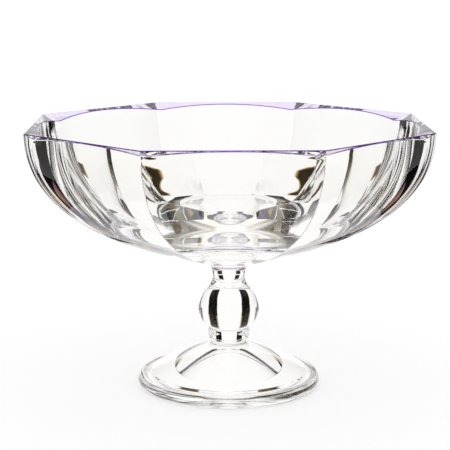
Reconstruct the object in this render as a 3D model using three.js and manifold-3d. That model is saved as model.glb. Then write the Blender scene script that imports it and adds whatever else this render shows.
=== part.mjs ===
// Footed glass bowl: a panelled bowl with a round hollow, carried by a wafer, a baluster stem, a collar and a
// domed round foot. Millimetres, +Z up, origin at the centre of the foot on the table.
import * as THREE from "three";
import { mergeVertices } from "three/addons/utils/BufferGeometryUtils.js";
import Module from "manifold-3d";

const wasm = await Module();
wasm.setup();

// Foot, from the standing ring up to the joint under the collar.
const footRadius = 66.3;
const standRingOuter = 63.5;
const standRingInner = 34;
const hollowRise = 20;
const hollowShoulder = 12;
const edgeBellyHeight = 3.2;
const edgeTopHeight = 7.5;
const edgeTopRadius = 62.5;
const domeRadius = 56.6;
const domeStep = 2.7;
const domeEdgeRun = 10.6;
const domeEdgeRise = 6.8;
const domeTopRadius = 18;
const domeTopHeight = 27.5;
const domeTopRun = 12;
const domeTopRise = 3.4;
const footNeckRadius = 12.9;
const footNeckHeight = 31.2;
const footHeight = 33.5;

// Collar, the ring that is fused between the foot and the stem.
const collarRadius = 15.1;
const collarHeight = 8.8;
const footJointRadius = 13.4;

// Stem, a baluster with a low bulb and a slim neck.
const stemJointRadius = 13;
const bulbRadius = 22;
const bulbHeight = 13.4;
const bulbUnderHeight = 4.2;
const bulbShoulder = 10.5;
const neckRadius = 11.6;
const neckTaper = 7;
const neckBelowTop = 7.5;
const neckFlare = 4;
const stemHeight = 44.7;

// Wafer, the flared disc that is fused between the stem and the bowl.
const waferJointRadius = 13.4;
const waferHeight = 5.5;
const waferInset = 0.9;
const waferThroatRadius = 15.5;
const waferThroatHeight = 3.3;

// Bowl: flat panels outside, round inside, with a rim that slopes in towards the hollow.
const panelCount = 8;
const rimCornerRadius = 150;
const bowlHeight = 98.5;
const wallStraight = 51;
const bellyRadius = 96;
const bellyHeight = 17.5;
const baseCornerRadius = 27;
const wallAtRim = 3.6;
const wallAtTurn = 4.9;
const turnAlongRidge = 0.46;
const floorTurnReach = 48;
const floorSpread = 98;
const floorThickness = 32;
const rimSlopeDegrees = 18;

// Fineness of the round surfaces.
const roundSegments = 48;
const slimSegments = 32;
const curveSteps = 5;
const wallSteps = 16;
const hollowSteps = 8;

// Cutters reach this far past the rim, so that no two faces lie in one plane.
const cutterReach = 4;

const panelHalfAngle = Math.PI / panelCount;
const cornerToFlat = Math.cos(panelHalfAngle);
const rimFall = Math.tan(THREE.MathUtils.degToRad(rimSlopeDegrees));

// Turns a profile of (radius, height) points about the Z axis, with the first seam at the front.
function turned(points, segments, seamAngle = 0) {
  const geometry = new THREE.LatheGeometry(points, segments, seamAngle, 2 * Math.PI);
  geometry.rotateX(Math.PI / 2);
  geometry.deleteAttribute("normal");
  geometry.deleteAttribute("uv");
  return mergeVertices(geometry);
}

// A turned profile with triangles that meet at one point on the axis left out, as a solid to cut with.
function solidOf(geometry) {
  const corners = geometry.index.array;
  const kept = [];
  for (let i = 0; i < corners.length; i += 3) {
    const [a, b, c] = corners.slice(i, i + 3);
    if (a !== b && b !== c && c !== a) kept.push(a, b, c);
  }
  const mesh = new wasm.Mesh({
    numProp: 3,
    vertProperties: geometry.attributes.position.array,
    triVerts: new Uint32Array(kept),
  });
  return new wasm.Manifold(mesh);
}

function geometryOf(solid) {
  const mesh = solid.getMesh();
  const geometry = new THREE.BufferGeometry();
  geometry.setAttribute("position", new THREE.BufferAttribute(mesh.vertProperties, 3));
  geometry.setIndex(new THREE.BufferAttribute(mesh.triVerts, 1));
  return geometry;
}

function footGeometry() {
  const domeFoot = edgeTopHeight + domeStep;
  const neckFall = (domeTopRise / domeTopRun) * (domeTopRadius - footNeckRadius);
  const profile = new THREE.Path();
  profile.moveTo(0, hollowRise);
  profile.quadraticCurveTo(hollowShoulder, hollowRise, standRingInner, 0);
  profile.lineTo(standRingOuter, 0);
  profile.quadraticCurveTo(footRadius, 0, footRadius, edgeBellyHeight);
  profile.quadraticCurveTo(footRadius, edgeTopHeight, edgeTopRadius, edgeTopHeight);
  profile.lineTo(domeRadius, edgeTopHeight);
  profile.lineTo(domeRadius, domeFoot);
  profile.bezierCurveTo(
    domeRadius - domeEdgeRun, domeFoot + domeEdgeRise,
    domeTopRadius + domeTopRun, domeTopHeight - domeTopRise,
    domeTopRadius, domeTopHeight,
  );
  profile.quadraticCurveTo(footNeckRadius, domeTopHeight + neckFall, footNeckRadius, footNeckHeight);
  profile.quadraticCurveTo(footNeckRadius, footHeight, footJointRadius, footHeight);
  profile.lineTo(0, footHeight);
  return turned(profile.getPoints(curveSteps), roundSegments);
}

function collarGeometry() {
  const profile = new THREE.Path();
  profile.moveTo(0, 0);
  profile.lineTo(footJointRadius, 0);
  profile.quadraticCurveTo(collarRadius, 0, collarRadius, collarHeight / 2);
  profile.quadraticCurveTo(collarRadius, collarHeight, stemJointRadius, collarHeight);
  profile.lineTo(0, collarHeight);
  return turned(profile.getPoints(curveSteps), slimSegments);
}

function stemGeometry() {
  const neckHeight = stemHeight - neckBelowTop;
  const profile = new THREE.Path();
  profile.moveTo(0, 0);
  profile.lineTo(stemJointRadius, 0);
  profile.quadraticCurveTo(bulbRadius, bulbUnderHeight, bulbRadius, bulbHeight);
  profile.bezierCurveTo(
    bulbRadius, bulbHeight + bulbShoulder,
    neckRadius, neckHeight - neckTaper,
    neckRadius, neckHeight,
  );
  profile.quadraticCurveTo(neckRadius, neckHeight + neckFlare, waferJointRadius, stemHeight);
  profile.lineTo(0, stemHeight);
  return turned(profile.getPoints(curveSteps), slimSegments);
}

function waferGeometry() {
  const topRadius = baseCornerRadius * cornerToFlat - waferInset;
  const profile = new THREE.Path();
  profile.moveTo(0, 0);
  profile.lineTo(waferJointRadius, 0);
  profile.quadraticCurveTo(waferThroatRadius, waferThroatHeight, topRadius, waferHeight);
  profile.lineTo(0, waferHeight);
  return turned(profile.getPoints(curveSteps), slimSegments);
}

// The ridge between two panels, from the rim down to the base.
const ridge = new THREE.CubicBezierCurve(
  new THREE.Vector2(rimCornerRadius, bowlHeight),
  new THREE.Vector2(rimCornerRadius, bowlHeight - wallStraight),
  new THREE.Vector2(bellyRadius, bellyHeight),
  new THREE.Vector2(baseCornerRadius, 0),
);

// The way that the middle of a panel runs, down towards the base.
function panelTangent(t) {
  const along = ridge.getTangent(t);
  return new THREE.Vector2(along.x * cornerToFlat, along.y).normalize();
}

// A point on the wall of the hollow: the middle of a panel, moved inwards by the wall's thickness.
function hollowPoint(t) {
  const point = ridge.getPoint(t);
  const down = panelTangent(t);
  const wall = THREE.MathUtils.lerp(wallAtRim, wallAtTurn, (t / turnAlongRidge) ** 2);
  return new THREE.Vector2(point.x * cornerToFlat + down.y * wall, point.y - down.x * wall);
}

// The thick floor of the hollow: it bends in from the wall and rises a little towards the middle.
function hollowFloor() {
  const edge = hollowPoint(turnAlongRidge);
  return new THREE.CubicBezierCurve(
    new THREE.Vector2(0, floorThickness),
    new THREE.Vector2(floorSpread, floorThickness),
    edge.clone().addScaledVector(panelTangent(turnAlongRidge), floorTurnReach),
    edge,
  );
}

function bowlGeometry() {
  const blankTop = bowlHeight + cutterReach;
  const outside = ridge.getPoints(wallSteps).reverse();
  const blank = turned(
    [
      new THREE.Vector2(0, 0),
      ...outside,
      new THREE.Vector2(rimCornerRadius, blankTop),
      new THREE.Vector2(0, blankTop),
    ],
    panelCount,
    panelHalfAngle,
  );

  const inside = hollowFloor().getPoints(hollowSteps);
  for (let step = hollowSteps - 1; step >= 0; step -= 1) {
    inside.push(hollowPoint((turnAlongRidge * step) / hollowSteps));
  }
  const mouthRadius = inside[inside.length - 1].x;
  const hollowTop = blankTop + cutterReach;
  const hollow = turned(
    [
      ...inside,
      new THREE.Vector2(mouthRadius, hollowTop),
      new THREE.Vector2(0, hollowTop),
    ],
    roundSegments,
  );

  const flatFall = cornerToFlat * rimFall;
  const bevelTop = blankTop + cutterReach;
  const bevelTopRadius = rimCornerRadius + (bevelTop - bowlHeight) / flatFall;
  const bevel = turned(
    [
      new THREE.Vector2(0, bowlHeight - rimCornerRadius * flatFall),
      new THREE.Vector2(bevelTopRadius, bevelTop),
      new THREE.Vector2(0, bevelTop),
    ],
    panelCount,
    panelHalfAngle,
  );
  return geometryOf(solidOf(blank).subtract(solidOf(hollow)).subtract(solidOf(bevel)));
}

const glass = { roughness: 0.04, metalness: 0, transparent: true, opacity: 0.35 };
const clearGlass = () => new THREE.MeshStandardMaterial({ color: 0xf3f5f2, ...glass });
const violetTintedGlass = () => new THREE.MeshStandardMaterial({ color: 0xebe6f1, ...glass });

// Each piece stands on the one below it.
const footedBowl = new THREE.Group();
let seatHeight = 0;

function stack(name, geometry, material, height) {
  const mesh = new THREE.Mesh(geometry, material);
  mesh.name = name;
  mesh.position.z = seatHeight;
  footedBowl.add(mesh);
  seatHeight += height;
}

stack("foot", footGeometry(), clearGlass(), footHeight);
stack("stem_collar", collarGeometry(), clearGlass(), collarHeight);
stack("stem", stemGeometry(), clearGlass(), stemHeight);
stack("bowl_wafer", waferGeometry(), clearGlass(), waferHeight);
stack("bowl", bowlGeometry(), violetTintedGlass(), bowlHeight);

export default footedBowl;
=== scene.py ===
import math

import bpy
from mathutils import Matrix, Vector


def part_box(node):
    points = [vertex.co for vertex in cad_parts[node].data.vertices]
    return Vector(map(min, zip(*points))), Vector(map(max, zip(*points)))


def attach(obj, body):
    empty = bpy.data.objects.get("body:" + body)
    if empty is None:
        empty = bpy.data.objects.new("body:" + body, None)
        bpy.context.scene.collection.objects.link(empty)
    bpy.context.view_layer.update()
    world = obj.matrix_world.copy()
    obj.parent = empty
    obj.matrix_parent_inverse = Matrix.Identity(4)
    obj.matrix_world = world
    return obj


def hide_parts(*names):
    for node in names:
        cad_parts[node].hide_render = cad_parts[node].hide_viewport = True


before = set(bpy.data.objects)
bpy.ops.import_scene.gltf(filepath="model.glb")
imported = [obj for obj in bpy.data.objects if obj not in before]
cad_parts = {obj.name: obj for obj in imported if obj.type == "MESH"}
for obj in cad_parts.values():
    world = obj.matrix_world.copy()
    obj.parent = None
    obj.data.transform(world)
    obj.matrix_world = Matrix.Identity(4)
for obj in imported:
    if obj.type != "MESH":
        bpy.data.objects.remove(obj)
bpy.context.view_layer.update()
mm = 0.001
white = (1, 1, 1, 1)
black = (0, 0, 0, 1)
print("frame loaded:", ", ".join(sorted(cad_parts)))


class Wire:  # one output socket, so that shader maths reads as plain sums
    def __init__(self, net, socket):
        self.net = net
        self.socket = socket

    def combine(self, operation, first, second):
        return self.net.add("ShaderNodeMath", {"operation": operation}, {0: first, 1: second})

    def __add__(self, other):
        return self.combine("ADD", self, other)

    def __radd__(self, other):
        return self.combine("ADD", other, self)

    def __sub__(self, other):
        return self.combine("SUBTRACT", self, other)

    def __rsub__(self, other):
        return self.combine("SUBTRACT", other, self)

    def __mul__(self, other):
        return self.combine("MULTIPLY", self, other)

    def __rmul__(self, other):
        return self.combine("MULTIPLY", other, self)


class Net:  # a node tree with one way to add any node
    def __init__(self, tree):
        self.tree = tree
        tree.nodes.clear()

    def add(self, kind, settings=None, inputs=None, out=0):
        node = self.tree.nodes.new(kind)
        for key, value in (settings or {}).items():
            if key == "stops":
                self.setStops(node.color_ramp, value)
            else:
                setattr(node, key, value)
        for key, value in (inputs or {}).items():
            if isinstance(value, Wire):
                self.tree.links.new(value.socket, node.inputs[key])
            else:
                node.inputs[key].default_value = value
        return Wire(self, node.outputs[out]) if node.outputs else None

    def setStops(self, ramp, stops):
        while len(ramp.elements) < len(stops):
            ramp.elements.new(0.5)
        for element, (place, colour) in zip(ramp.elements, stops):
            element.position = place
            element.color = colour


def newMaterial(name):
    material = bpy.data.materials.new(name)
    material.use_nodes = True
    return material, Net(material.node_tree)


def noiseOver(net, place, scale, detail):
    return net.add("ShaderNodeTexNoise", {}, {"Vector": place, "Scale": scale, "Detail": detail})


def lighterOf(net, first, second):
    sockets = {0: 1.0, 6: first, 7: second}
    return net.add("ShaderNodeMix", {"data_type": "RGBA", "blend_type": "LIGHTEN"}, sockets, out=2)


# camera at the photograph's viewing angle
cameraSet = {
    "aim": (-2.7 * mm, 0.0, 117.0 * mm),
    "distance": 1.004,
    "azimuth": -0.956,  # degrees, 0 looks along +Y
    "elevation": 11.142,
    "focalPixels": 1392.8,
    "framePixels": 450,
    "sensorWidth": 36.0,
    "clipStart": 0.01,
}


def placeCamera(settings):
    azimuth = math.radians(settings["azimuth"])
    elevation = math.radians(settings["elevation"])
    back = Vector((
        math.sin(azimuth) * math.cos(elevation),
        -math.cos(azimuth) * math.cos(elevation),
        math.sin(elevation),
    ))
    lens = bpy.data.cameras.new("camera")
    lens.sensor_width = settings["sensorWidth"]
    lens.lens = settings["sensorWidth"] * settings["focalPixels"] / settings["framePixels"]
    lens.clip_start = settings["clipStart"]
    camera = bpy.data.objects.new("camera", lens)
    camera.location = Vector(settings["aim"]) + back * settings["distance"]
    camera.rotation_mode = "QUATERNION"
    camera.rotation_quaternion = (-back).to_track_quat("-Z", "Y")
    bpy.context.collection.objects.link(camera)
    bpy.context.scene.camera = camera


placeCamera(cameraSet)
print("camera placed")


# curves that the profiles are drawn with, as (radius, height) points
leadShare = 0.25  # a short flat run beside each eased corner keeps the shading tight
samePlace = 1e-7  # points closer than this, in metres, are one


def bendAt(handles, t):
    count = len(handles) - 1
    weights = [math.comb(count, i) * t ** i * (1 - t) ** (count - i) for i in range(count + 1)]
    return Vector([sum(w * h[axis] for w, h in zip(weights, handles)) for axis in (0, 1)])


def bendThrough(handles, steps):
    return [bendAt(handles, step / steps) for step in range(steps + 1)]


def roundCorner(before, corner, after, radius, steps):
    corner = Vector(corner)
    goingIn = (Vector(before) - corner).normalized()
    goingOut = (Vector(after) - corner).normalized()
    half = goingIn.angle(goingOut) / 2
    reach = radius / math.tan(half)
    lead = reach + radius * leadShare
    centre = corner + (goingIn + goingOut).normalized() * (radius / math.sin(half))
    start = corner + goingIn * reach - centre
    finish = corner + goingOut * reach - centre
    sweep = start.angle(finish)
    points = [corner + goingIn * lead]
    for step in range(steps + 1):
        turned = sweep * step / steps
        spoke = start * math.sin(sweep - turned) + finish * math.sin(turned)
        points.append(centre + spoke / math.sin(sweep))
    return points + [corner + goingOut * lead]


def joinPoints(*runs):
    points = []
    for run in runs:
        for point in run:
            if not points or (Vector(point) - points[-1]).length > samePlace:
                points.append(Vector(point))
    return points


# meshes laid out as rows of points round the stem's axis
sharpAngle = 35  # degrees between faces


def skinRows(name, rows, bottomPole, topPole, fusedEnds=()):
    columns = len(rows[0])
    top = len(rows) - 1
    points = [bottomPole] + [point for row in rows for point in row] + [topPole]
    faces = []
    fused = []

    def corner(row, column):
        return 1 + row * columns + column % columns

    for column in range(columns):
        faces.append((0, corner(0, column + 1), corner(0, column)))
        fused.append("bottom" in fusedEnds)
        faces.append((corner(top, column), corner(top, column + 1), len(points) - 1))
        fused.append("top" in fusedEnds)
        for row in range(top):
            faces.append((
                corner(row, column),
                corner(row, column + 1),
                corner(row + 1, column + 1),
                corner(row + 1, column),
            ))
            fused.append(False)
    mesh = bpy.data.meshes.new(name)
    mesh.from_pydata(points, [], faces)
    mesh.polygons.foreach_set("use_smooth", [True] * len(faces))
    mesh.polygons.foreach_set("material_index", [int(flag) for flag in fused])
    mesh.update()
    mesh.set_sharp_from_angle(angle=math.radians(sharpAngle))
    piece = bpy.data.objects.new(name, mesh)
    bpy.context.collection.objects.link(piece)
    return piece


def ringOf(radius, height, headings):
    return [(radius * math.sin(a), -radius * math.cos(a), height) for a in headings]


def turnProfile(name, profile, columns, fusedEnds):
    headings = [2 * math.pi * column / columns for column in range(columns)]
    rows = [ringOf(r, z, headings) for r, z in profile if r > samePlace]
    return skinRows(name, rows, (0, 0, profile[0].y), (0, 0, profile[-1].y), fusedEnds)


# glass finishes
clearLook = {
    "tint": (0.992, 0.988, 0.974, 1),
    "ior": 1.55,
    "mirror": (0.1, 0.1, 0.1, 1),
    "roughness": 0.0,
    "roughnessSpread": 0.01,
    "filmScale": 60.0,
    "filmDetail": 4.0,
    "waveScale": 20.0,
    "waveDetail": 1.0,
    "waveStrength": 0.25,
    "waveDepth": 0.4 * mm,
}
# the foot's dark edge streaks below are painted shade
footLook = dict(
    clearLook,
    edgeShade=(0.03, 0.02, 0.012, 1),
    streakFrom=57 * mm,
    streakFull=63 * mm,
    streakScale=420.0,
    streakDetail=3.0,
    streakRound=5.0,
    shadeFrom=0.45,
    shadeFull=0.6,
)
rimLook = dict(
    clearLook,
    lilac=(0.78, 0.64, 0.97, 1),
    violet=(0.09, 0.008, 0.42, 1),
    bevelLustre=0.5,  # where the lustre is lilac, and where it is violet
    edgeLustre=1.0,
)


def shadeStreakedEdge(net, place, look):  # painted shade: thin dark streaks that run round the foot's outer edge, standing in for the dark lines that the thick edge shows
    flat = net.add("ShaderNodeVectorMath", {"operation": "MULTIPLY"}, {0: place, 1: (1, 1, 0)})
    radius = net.add("ShaderNodeVectorMath", {"operation": "LENGTH"}, {0: flat}, out="Value")
    height = net.add("ShaderNodeSeparateXYZ", {}, {"Vector": place}, out="Z")
    heading = net.add("ShaderNodeTexGradient", {"gradient_type": "RADIAL"}, {"Vector": place})
    along = net.add("ShaderNodeCombineXYZ", {}, {
        "X": radius * look["streakScale"],
        "Y": height * look["streakScale"],
        "Z": heading * look["streakRound"],
    })
    shadeStreaks = noiseOver(net, along, 1.0, look["streakDetail"])
    dark = net.add("ShaderNodeMapRange", {}, {
        "Value": shadeStreaks,
        "From Min": look["shadeFrom"],
        "From Max": look["shadeFull"],
    })
    outer = net.add("ShaderNodeMapRange", {}, {
        "Value": radius,
        "From Min": look["streakFrom"],
        "From Max": look["streakFull"],
    })
    return net.add("ShaderNodeMix", {"data_type": "RGBA"}, {
        0: dark * outer,
        6: look["tint"],
        7: look["edgeShade"],
    }, out=2)


def makeGlass(name, look):
    material, net = newMaterial(name)
    place = net.add("ShaderNodeTexCoord", out="Object")
    waves = noiseOver(net, place, look["waveScale"], look["waveDetail"])
    film = noiseOver(net, place, look["filmScale"], look["filmDetail"])
    colour = look["tint"]
    if "violet" in look:
        lustre = net.add("ShaderNodeAttribute", {"attribute_name": "lustre"}, out="Fac")
        stops = [
            (0.0, look["tint"]),
            (look["bevelLustre"], look["lilac"]),
            (look["edgeLustre"], look["violet"]),
        ]
        colour = net.add("ShaderNodeValToRGB", {"stops": stops}, {"Fac": lustre})
    # painted shade on the foot's outer edge
    if "edgeShade" in look:
        colour = shadeStreakedEdge(net, place, look)
    bump = net.add("ShaderNodeBump", {}, {
        "Height": waves,
        "Strength": look["waveStrength"],
        "Distance": look["waveDepth"],
    })
    shader = net.add("ShaderNodeBsdfPrincipled", {}, {
        "Base Color": colour,
        "Roughness": look["roughness"] + film * look["roughnessSpread"],
        "Normal": bump,
        "IOR": look["ior"],
        "Transmission Weight": 1.0,
        "Specular Tint": look["mirror"],
    })
    net.add("ShaderNodeOutputMaterial", {}, {"Surface": shader})
    return material


def makeFusedJoint():
    material, net = newMaterial("fused joint")
    clear = net.add("ShaderNodeBsdfTransparent", {}, {"Color": white})
    net.add("ShaderNodeOutputMaterial", {}, {"Surface": clear})
    return material


clearGlass = makeGlass("clear glass", clearLook)
rimGlass = makeGlass("rim lustre glass", rimLook)
footGlass = makeGlass("foot glass with painted edge shade", footLook)
fusedJoint = makeFusedJoint()


def finishPiece(piece, node, material):
    piece.data.materials.append(material)
    piece.data.materials.append(fusedJoint)
    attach(piece, "root")
    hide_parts(node)
    print("made", piece.name, len(piece.data.polygons), "faces")


# bowl: flat panels outside, round inside, thick in the middle
bowlSet = {
    "panels": 8,
    "wallStraight": 51 * mm,
    "belly": (96 * mm, 17.5 * mm),
    "baseCorner": 27 * mm,
    "wallAtRim": 3.6 * mm,
    "wallAtTurn": 4.9 * mm,
    "turnAlongRidge": 0.46,
    "floorTurnReach": 48 * mm,
    "floorSpread": 98 * mm,
    "floorThickness": 32 * mm,
    "rimSlope": 18,  # degrees
    "ridgeRound": 1.2 * mm,
    "ridgeShare": 0.2,  # the most that a ridge is eased, of the panel's distance from the axis
    "rimRound": 0.6 * mm,
    "wallStop": 1.8 * mm,  # the wall's own rows end this far under the rim
    "panelSteps": 18,
    "ridgeSteps": 6,
    "wallSteps": 60,
    "cornerSteps": 6,
    "bevelSteps": 4,
    "hollowSteps": 44,
    "floorSteps": 32,
}


def sectionPoints(settings, flat):  # an octagon with eased ridges, as points round the axis
    half = math.pi / settings["panels"]
    ease = min(settings["ridgeRound"], flat * settings["ridgeShare"])
    reach = (flat - ease) * math.tan(half)
    lead = reach - ease * leadShare
    steps = settings["panelSteps"]
    spots = [-reach] + [lead * (2 * step / steps - 1) for step in range(steps + 1)] + [reach]
    hub = (flat - ease) / math.cos(half)
    points = []
    for panel in range(settings["panels"]):
        facing = 2 * half * panel
        for along in spots:
            points.append((
                flat * math.sin(facing) + along * math.cos(facing),
                -flat * math.cos(facing) + along * math.sin(facing),
            ))
        for step in range(1, settings["ridgeSteps"]):
            turn = facing + 2 * half * step / settings["ridgeSteps"]
            points.append((
                hub * math.sin(facing + half) + ease * math.sin(turn),
                -hub * math.cos(facing + half) - ease * math.cos(turn),
            ))
    return points


def hollowPoints(settings, ridge, cornerToFlat, base):  # from the mouth down to the middle of the floor
    nudge = 1e-4  # of the way along the ridge, to each side of a point

    def panelTangent(t):
        along = bendAt(ridge, t + nudge) - bendAt(ridge, t - nudge)
        return Vector((along.x * cornerToFlat, along.y)).normalized()

    turn = settings["turnAlongRidge"]
    points = []
    for step in range(settings["hollowSteps"] + 1):
        share = step / settings["hollowSteps"]
        r, z = bendAt(ridge, turn * share)
        down = panelTangent(turn * share)
        wall = settings["wallAtRim"] + (settings["wallAtTurn"] - settings["wallAtRim"]) * share ** 2
        points.append(Vector((r * cornerToFlat + down.y * wall, z - down.x * wall)))
    middle = base + settings["floorThickness"]
    floor = bendThrough([
        points[-1],
        points[-1] + panelTangent(turn) * settings["floorTurnReach"],
        (settings["floorSpread"], middle),
        (0, middle),
    ], settings["floorSteps"])
    return joinPoints(points, floor)


def makeBowl(settings):
    low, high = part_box("bowl")
    half = math.pi / settings["panels"]
    cornerToFlat = math.cos(half)
    rimFlat, rimHeight = high.x, high.z
    ridge = [
        (rimFlat / cornerToFlat, rimHeight),
        (rimFlat / cornerToFlat, rimHeight - settings["wallStraight"]),
        (settings["belly"][0], low.z + settings["belly"][1]),
        (settings["baseCorner"], low.z),
    ]
    hollow = hollowPoints(settings, ridge, cornerToFlat, low.z)
    rimSection = sectionPoints(settings, rimFlat)
    headings = [math.atan2(x, -y) for x, y in rimSection]
    mouth = hollow[0].x
    slope = math.tan(math.radians(settings["rimSlope"]))
    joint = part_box("bowl_wafer")[1].x

    rows = [ringOf(joint, low.z, headings)]
    lustre = [0.0]
    wallTop = rimHeight - settings["wallStop"]
    for r, z in reversed(bendThrough(ridge, settings["wallSteps"])):
        if z < wallTop:
            rows.append([(x, y, z) for x, y in sectionPoints(settings, r * cornerToFlat)])
            lustre.append(0.0)

    columns = []  # the rim, worked out along each heading: wall, bevel, hollow
    down = Vector((0, -1))
    for (x, y), heading in zip(rimSection, headings):
        outer = math.hypot(x, y)
        off = (heading + half) % (2 * half) - half
        edge = Vector((outer, rimHeight))
        lip = Vector((mouth, rimHeight - (rimFlat - mouth * math.cos(off)) * slope))
        outerRound = roundCorner(edge + down, edge, lip, settings["rimRound"], settings["cornerSteps"])
        innerRound = roundCorner(edge, lip, lip + down, settings["rimRound"], settings["cornerSteps"])
        bevel = bendThrough([outerRound[-1], innerRound[0]], settings["bevelSteps"])[1:-1]
        columns.append(outerRound + bevel + innerRound)
    edgeRows = len(outerRound)
    rimRows = len(columns[0])
    for row in range(rimRows):
        rows.append([
            (column[row].x * math.sin(a), -column[row].x * math.cos(a), column[row].y)
            for column, a in zip(columns, headings)
        ])
        fromEnd = min(row, rimRows - 1 - row)
        if fromEnd == 0:
            lustre.append(0.0)
        elif fromEnd < edgeRows - 1:
            lustre.append(rimLook["edgeLustre"])
        else:
            lustre.append(rimLook["bevelLustre"])

    lowestLip = min(column[-1].y for column in columns)
    for r, z in hollow[:-1]:
        if z < lowestLip - settings["rimRound"]:
            rows.append(ringOf(r, z, headings))
            lustre.append(0.0)

    piece = skinRows("glass_bowl", rows, (0, 0, low.z), (0, 0, hollow[-1].y), ("bottom",))
    layer = piece.data.attributes.new("lustre", "FLOAT", "POINT")
    layer.data.foreach_set("value", [0.0] + [value for value in lustre for _ in headings] + [0.0])
    finishPiece(piece, "bowl", rimGlass)


makeBowl(bowlSet)


# wafer: the flared disc between stem and bowl
waferSet = {
    "stemJoint": 13.4 * mm,
    "throat": (15.5 * mm, 3.3 * mm),
    "curveSteps": 16,
    "columns": 96,
}


def makeWafer(settings):
    low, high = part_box("bowl_wafer")
    flare = bendThrough([
        (settings["stemJoint"], low.z),
        (settings["throat"][0], low.z + settings["throat"][1]),
        (high.x, high.z),
    ], settings["curveSteps"])
    profile = joinPoints([(0, low.z)], flare, [(0, high.z)])
    piece = turnProfile("glass_wafer", profile, settings["columns"], ("bottom", "top"))
    finishPiece(piece, "bowl_wafer", clearGlass)


makeWafer(waferSet)


# stem: baluster with a low bulb and a slim neck
stemSet = {
    "baseJoint": 13 * mm,
    "topJoint": 13.4 * mm,
    "bulbHeight": 13.4 * mm,
    "bulbUnder": 4.2 * mm,
    "bulbShoulder": 10.5 * mm,
    "neckRadius": 11.6 * mm,
    "neckTaper": 7 * mm,
    "neckBelowTop": 7.5 * mm,
    "neckFlare": 4 * mm,
    "curveSteps": 24,
    "columns": 112,
}


def makeStem(settings):
    low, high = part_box("stem")
    bulb = high.x
    neck = high.z - settings["neckBelowTop"]
    widest = low.z + settings["bulbHeight"]
    under = bendThrough([
        (settings["baseJoint"], low.z),
        (bulb, low.z + settings["bulbUnder"]),
        (bulb, widest),
    ], settings["curveSteps"])
    shoulder = bendThrough([
        (bulb, widest),
        (bulb, widest + settings["bulbShoulder"]),
        (settings["neckRadius"], neck - settings["neckTaper"]),
        (settings["neckRadius"], neck),
    ], settings["curveSteps"])
    flare = bendThrough([
        (settings["neckRadius"], neck),
        (settings["neckRadius"], neck + settings["neckFlare"]),
        (settings["topJoint"], high.z),
    ], settings["curveSteps"] // 2)
    profile = joinPoints([(0, low.z)], under, shoulder, flare, [(0, high.z)])
    piece = turnProfile("glass_stem", profile, settings["columns"], ("bottom", "top"))
    finishPiece(piece, "stem", clearGlass)


makeStem(stemSet)


# collar: the ring between foot and stem
collarSet = {
    "footJoint": 13.4 * mm,
    "stemJoint": 13 * mm,
    "curveSteps": 12,
    "columns": 96,
}


def makeCollar(settings):
    low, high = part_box("stem_collar")
    middle = (low.z + high.z) / 2
    lower = bendThrough([
        (settings["footJoint"], low.z),
        (high.x, low.z),
        (high.x, middle),
    ], settings["curveSteps"])
    upper = bendThrough([
        (high.x, middle),
        (high.x, high.z),
        (settings["stemJoint"], high.z),
    ], settings["curveSteps"])
    profile = joinPoints([(0, low.z)], lower, upper, [(0, high.z)])
    piece = turnProfile("glass_collar", profile, settings["columns"], ("bottom", "top"))
    finishPiece(piece, "stem_collar", clearGlass)


makeCollar(collarSet)


# foot: dome on a rounded edge, hollow under
footSet = {
    "standRingOuter": 63.5 * mm,
    "standRingInner": 34 * mm,
    "hollowRise": 20 * mm,
    "hollowShoulder": 12 * mm,
    "edgeBelly": 3.2 * mm,
    "edgeTop": (62.5 * mm, 7.5 * mm),
    "domeRadius": 56.6 * mm,
    "domeStep": 2.7 * mm,
    "domeEdge": (10.6 * mm, 6.8 * mm),
    "domeTop": (18 * mm, 27.5 * mm),
    "domeTopRun": 12 * mm,
    "domeTopRise": 3.4 * mm,
    "neckRadius": 12.9 * mm,
    "neckHeight": 31.2 * mm,
    "topJoint": 13.4 * mm,
    "ringRound": 0.8 * mm,
    "stepRound": 0.7 * mm,
    "cornerSteps": 6,
    "curveSteps": 20,
    "columns": 160,
}


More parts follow.
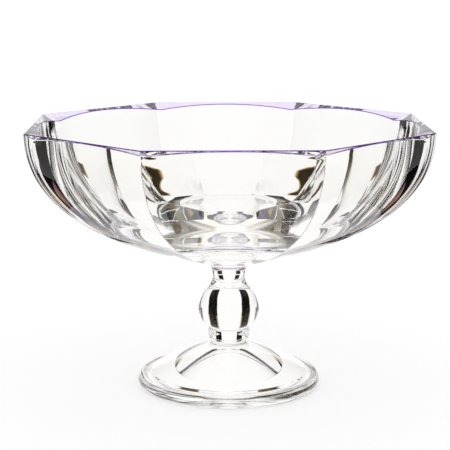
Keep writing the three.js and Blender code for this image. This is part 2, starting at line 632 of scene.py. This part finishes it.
def makeFoot(settings):
    low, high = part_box("foot")
    edge = high.x
    steps = settings["curveSteps"]
    edgeRadius, edgeHeight = settings["edgeTop"]
    topRadius, topHeight = settings["domeTop"]
    dome = settings["domeRadius"]
    neck = settings["neckRadius"]
    domeFoot = edgeHeight + settings["domeStep"]
    fall = settings["domeTopRise"] / settings["domeTopRun"] * (topRadius - neck)
    hollow = bendThrough([
        (0, settings["hollowRise"]),
        (settings["hollowShoulder"], settings["hollowRise"]),
        (settings["standRingInner"], 0),
    ], steps)
    belly = settings["edgeBelly"]
    stand = (settings["standRingOuter"], 0)
    ring = roundCorner(hollow[-2], hollow[-1], stand, settings["ringRound"], settings["cornerSteps"])
    lowerEdge = bendThrough([stand, (edge, 0), (edge, belly)], steps // 2)
    upperEdge = bendThrough([(edge, belly), (edge, edgeHeight), (edgeRadius, edgeHeight)], steps // 2)
    domeCurve = bendThrough([
        (dome, domeFoot),
        (dome - settings["domeEdge"][0], domeFoot + settings["domeEdge"][1]),
        (topRadius + settings["domeTopRun"], topHeight - settings["domeTopRise"]),
        (topRadius, topHeight),
    ], steps)
    stepInside = roundCorner(
        (edgeRadius, edgeHeight),
        (dome, edgeHeight),
        (dome, domeFoot),
        settings["stepRound"],
        settings["cornerSteps"],
    )
    stepOutside = roundCorner(
        (dome, edgeHeight),
        (dome, domeFoot),
        domeCurve[1],
        settings["stepRound"],
        settings["cornerSteps"],
    )
    neckHeight = settings["neckHeight"]
    throat = bendThrough([(topRadius, topHeight), (neck, topHeight + fall), (neck, neckHeight)], steps // 2)
    lip = bendThrough([(neck, neckHeight), (neck, high.z), (settings["topJoint"], high.z)], steps // 2)
    profile = joinPoints(
        hollow[:-1], ring, lowerEdge, upperEdge, stepInside, stepOutside,
        domeCurve[1:], throat, lip, [(0, high.z)],
    )
    piece = turnProfile("glass_foot", profile, settings["columns"], ("top",))
    finishPiece(piece, "foot", footGlass)


makeFoot(footSet)


# studio: a white paper sweep with a dark room on both sides, and a white ceiling
facesInTwoWalls = 4


def seenRays(net):  # rays that go straight from the camera, and rays that reach it by way of the glass
    straight = net.add("ShaderNodeLightPath", out="Is Camera Ray")
    mirrored = net.add("ShaderNodeLightPath", out="Is Glossy Ray")
    through = net.add("ShaderNodeLightPath", out="Is Transmission Ray")
    return straight, mirrored + through


def reflectedRays(net):
    return net.add("ShaderNodeLightPath", out="Glossy Depth")


def unreflectedRays(net):
    return 1 - reflectedRays(net)


def doubledRays(net):  # rays that have passed two walls of glass
    return net.add("ShaderNodeLightPath", out="Transmission Depth") - (facesInTwoWalls - 1)


def stageMesh(name, points, faces, material):
    mesh = bpy.data.meshes.new(name)
    mesh.from_pydata(points, [], faces)
    mesh.materials.append(material)
    prop = bpy.data.objects.new(name, mesh)
    bpy.context.collection.objects.link(prop)
    return prop


floorSet = {
    "reach": 8.0,  # metres
    "columns": 96,
    "airUnderFoot": 0.3 * mm,
    "contact": (33 * mm, 49 * mm),  # the paper bears on the standing ring here
    "contactRise": 0.05 * mm,
    "contactRun": 1 * mm,
    "colour": (0.5, 0.5, 0.5, 1),
    "glow": 0.6,
}


def makeFloor(settings):
    material, net = newMaterial("pale floor")
    straight, indirect = seenRays(net)
    matte = net.add("ShaderNodeBsdfDiffuse", {}, {"Color": settings["colour"]})
    glow = net.add("ShaderNodeEmission", {}, {"Color": white, "Strength": settings["glow"]})
    paper = net.add("ShaderNodeEmission", {}, {"Color": white, "Strength": 1.0})
    lit = net.add("ShaderNodeAddShader", {}, {0: matte, 1: glow})
    shown = net.add("ShaderNodeMixShader", {}, {0: indirect, 1: matte, 2: paper})
    surface = net.add("ShaderNodeMixShader", {}, {0: straight, 1: shown, 2: lit})
    net.add("ShaderNodeOutputMaterial", {}, {"Surface": surface})
    columns = settings["columns"]
    headings = [2 * math.pi * column / columns for column in range(columns)]
    inner, outer = settings["contact"]
    sunk = -settings["airUnderFoot"]
    raised = settings["contactRise"]
    run = settings["contactRun"]
    rings = [
        (inner - run, sunk),
        (inner, raised),
        (outer, raised),
        (outer + run, sunk),
        (settings["reach"], sunk),
    ]
    points = [point for radius, height in rings for point in ringOf(radius, height, headings)]
    faces = [tuple(range(columns))]
    for row in range(len(rings) - 1):
        for column in range(columns):
            after = (column + 1) % columns
            low = row * columns
            high = low + columns
            faces.append((low + column, high + column, high + after, low + after))
    stageMesh("floor", points, faces, material)
    print("floor laid")


makeFloor(floorSet)


# dark cloth round the bowl, and a painted shadow of the bowl on the floor by the foot, seen only by way of
# the glass
# turn is in degrees from straight behind or in front
# reach from the axis and lie over the floor are in millimetres
clothAndShadowSet = {
    "dyes": {
        "black": (0.004, 0.0035, 0.002, 1),
        "brown": (0.02, 0.011, 0.002, 1),
        "ochre": (0.42, 0.26, 0.07, 1),
        "violet": (0.1, 0.04, 0.16, 1),
        "plum": (0.05, 0.004, 0.17, 1),
        "white": white,
    },
    "columns": 8,
    "mirrored": [  # shows in rays that the glass has reflected
        {"turn": (28, 36), "reach": (220, 900), "lie": (0.5, 0.5), "dye": ("black", "black")},
        {"turn": (36, 85), "reach": (220, 1600), "lie": (0.5, 0.5), "dye": ("black", "black")},
        {"turn": (26.8, 28), "reach": (220, 900), "lie": (0.5, 0.5), "dye": ("ochre", "ochre")},
        {"turn": (36, 38), "reach": (220, 1600), "lie": (0.7, 0.7), "dye": ("violet", "violet")},
        {"turn": (42, 57), "reach": (220, 330), "lie": (0.7, 0.7), "dye": ("plum", "plum")},
        {"turn": (42, 57), "reach": (330, 470), "lie": (0.7, 0.7), "dye": ("ochre", "violet")},
    ],
    "doubled": [  # shows in rays that have passed two walls
        {"turn": (28.5, 44), "reach": (485, 500), "lie": (0.9, 0.9), "dye": ("ochre", "ochre")},
        {"turn": (28.5, 44), "reach": (605, 620), "lie": (0.9, 0.9), "dye": ("ochre", "ochre")},
        {"turn": (24.5, 26.5), "reach": (485, 620), "lie": (0.9, 0.9), "dye": ("white", "ochre")},
        {"turn": (26.5, 28.5), "reach": (485, 620), "lie": (0.9, 0.9), "dye": ("ochre", "brown")},
        {"turn": (28.5, 44), "reach": (500, 605), "lie": (0.9, 0.9), "dye": ("brown", "brown")},
        # painted shadow: the bowl's violet shadow on the floor just behind and in front of the foot
        {"turn": (5, 30), "reach": (92, 145), "lie": (0.9, 0.9), "dye": ("plum", "plum")},
    ],
    "spokes": [  # shows in rays that the glass hasn't reflected
        {"turn": (15, 30), "reach": (78, 205), "lie": (0.5, 0.5), "dye": ("black", "black")},
        {"turn": (60, 75), "reach": (78, 205), "lie": (0.5, 0.5), "dye": ("black", "black")},
        {"turn": (15, 30), "reach": (205, 205), "lie": (0.5, 65), "dye": ("black", "black")},
        {"turn": (60, 75), "reach": (205, 205), "lie": (0.5, 65), "dye": ("black", "black")},
    ],
}


def hideFromLight(prop):
    prop.visible_camera = False
    prop.visible_diffuse = False
    prop.visible_shadow = False


def makeClothAndShadow(name, settings, pieces, bounces):
    material, net = newMaterial(name)
    dye = net.add("ShaderNodeAttribute", {"attribute_name": "dye"}, out="Color")
    # glows with each piece's dye: dark cloth, or the painted shadow by the foot
    dyedSheet = net.add("ShaderNodeEmission", {}, {"Color": dye, "Strength": 1.0})
    unseen = net.add("ShaderNodeBsdfTransparent", {}, {"Color": white})
    shown = net.add("ShaderNodeMixShader", {}, {0: bounces(net), 1: unseen, 2: dyedSheet})
    net.add("ShaderNodeOutputMaterial", {}, {"Surface": shown})
    points = []
    faces = []
    dyes = []

    def addPiece(piece, side, end):
        first, last = piece["turn"]
        firstDye, lastDye = (Vector(settings["dyes"][shade]) for shade in piece["dye"])
        for column in range(settings["columns"] + 1):
            share = column / settings["columns"]
            turn = math.radians(first + (last - first) * share)
            for reach, height in zip(piece["reach"], piece["lie"]):
                points.append((
                    side * reach * mm * math.sin(turn),
                    end * reach * mm * math.cos(turn),
                    height * mm,
                ))
                dyes.extend(firstDye.lerp(lastDye, share))
            if column:
                newest = len(points) - 1
                faces.append((newest - 3, newest - 2, newest, newest - 1))

    for piece in pieces:
        for side in (-1, 1):
            for end in (-1, 1):
                addPiece(piece, side, end)
    prop = stageMesh(name, points, faces, material)
    layer = prop.data.attributes.new("dye", "FLOAT_COLOR", "POINT")
    layer.data.foreach_set("color", dyes)
    hideFromLight(prop)
    print("laid", name)


makeClothAndShadow("mirrored_cloth", clothAndShadowSet, clothAndShadowSet["mirrored"], reflectedRays)
makeClothAndShadow("doubled_cloth_and_shadow", clothAndShadowSet, clothAndShadowSet["doubled"], doubledRays)
makeClothAndShadow("spoke_cloth", clothAndShadowSet, clothAndShadowSet["spokes"], unreflectedRays)


worldSet = {
    "light": 0.85,
    "sweepHalf": 20,  # degrees from straight behind or straight in front
    "sideTop": 25,  # degrees above the horizon
    "roomTop": 60,
    "blur": 3,
    "side": (0.006, 0.005, 0.003, 1),
    "sideEdge": (0.5, 0.36, 0.16, 1),
    "room": (0.11, 0.078, 0.036, 1),
    "screens": [(56, 72), (18, 34)],  # dark screens far behind, in degrees from straight behind
    "screenTop": 30,
    "screenBlur": 1.5,
}


def makeWorld(settings):
    world = bpy.data.worlds.new("studio")
    bpy.context.scene.world = world
    world.use_nodes = True
    net = Net(world.node_tree)
    blur = settings["blur"]

    def risePlace(degrees):
        return 0.5 + 0.5 * math.sin(math.radians(degrees))

    def turnPlace(degrees):
        return 0.5 + (90 - degrees) / 360

    direction = net.add("ShaderNodeTexCoord", out="Generated")
    rise = 0.5 + 0.5 * net.add("ShaderNodeSeparateXYZ", {}, {"Vector": direction}, out="Z")
    beside = net.add("ShaderNodeValToRGB", {"stops": [
        (risePlace(settings["sideTop"] - blur), settings["side"]),
        (risePlace(settings["sideTop"] + blur), settings["room"]),
        (risePlace(settings["roomTop"] - blur), settings["room"]),
        (risePlace(settings["roomTop"] + blur), white),
    ]}, {"Fac": rise})
    folded = net.add("ShaderNodeVectorMath", {"operation": "ABSOLUTE"}, {0: direction})
    turn = net.add("ShaderNodeTexGradient", {"gradient_type": "RADIAL"}, {"Vector": folded})
    sweep = net.add("ShaderNodeValToRGB", {"stops": [
        (turnPlace(settings["sweepHalf"] + blur), black),
        (turnPlace(settings["sweepHalf"]), settings["sideEdge"]),
        (turnPlace(settings["sweepHalf"] - blur), white),
    ]}, {"Fac": turn})
    around = lighterOf(net, beside, sweep)
    soft = settings["screenBlur"]
    screenStops = []
    for near, far in settings["screens"]:
        screenStops += [
            (turnPlace(far + soft), white),
            (turnPlace(far), settings["sideEdge"]),
            (turnPlace(far - soft), settings["side"]),
            (turnPlace(near + soft), settings["side"]),
            (turnPlace(near), settings["sideEdge"]),
            (turnPlace(near - soft), white),
        ]
    screens = net.add("ShaderNodeValToRGB", {"stops": screenStops}, {"Fac": turn})
    above = net.add("ShaderNodeValToRGB", {"stops": [
        (risePlace(settings["screenTop"] - blur), black),
        (risePlace(settings["screenTop"] + blur), white),
    ]}, {"Fac": rise})
    screened = lighterOf(net, screens, above)
    straight, indirect = seenRays(net)
    plain = net.add("ShaderNodeBackground", {}, {"Color": white, "Strength": settings["light"]})
    studio = net.add("ShaderNodeBackground", {}, {"Color": around, "Strength": 1.0})
    behind = net.add("ShaderNodeBackground", {}, {"Color": screened, "Strength": 1.0})
    backdrop = net.add("ShaderNodeBackground", {}, {"Color": white, "Strength": 1.0})
    glassy = net.add("ShaderNodeMixShader", {}, {0: reflectedRays(net), 1: behind, 2: studio})
    shown = net.add("ShaderNodeMixShader", {}, {0: indirect, 1: plain, 2: glassy})
    surface = net.add("ShaderNodeMixShader", {}, {0: straight, 1: shown, 2: backdrop})
    net.add("ShaderNodeOutputWorld", {}, {"Surface": surface})
    print("world lit")


makeWorld(worldSet)

bounceSet = {  # light has many faces of glass to pass
    "max_bounces": 32,
    "transmission_bounces": 24,
    "glossy_bounces": 12,
    "transparent_max_bounces": 24,
}

bpy.context.scene.view_settings.view_transform = "Standard"
for kind, count in bounceSet.items():
    setattr(bpy.context.scene.cycles, kind, count)
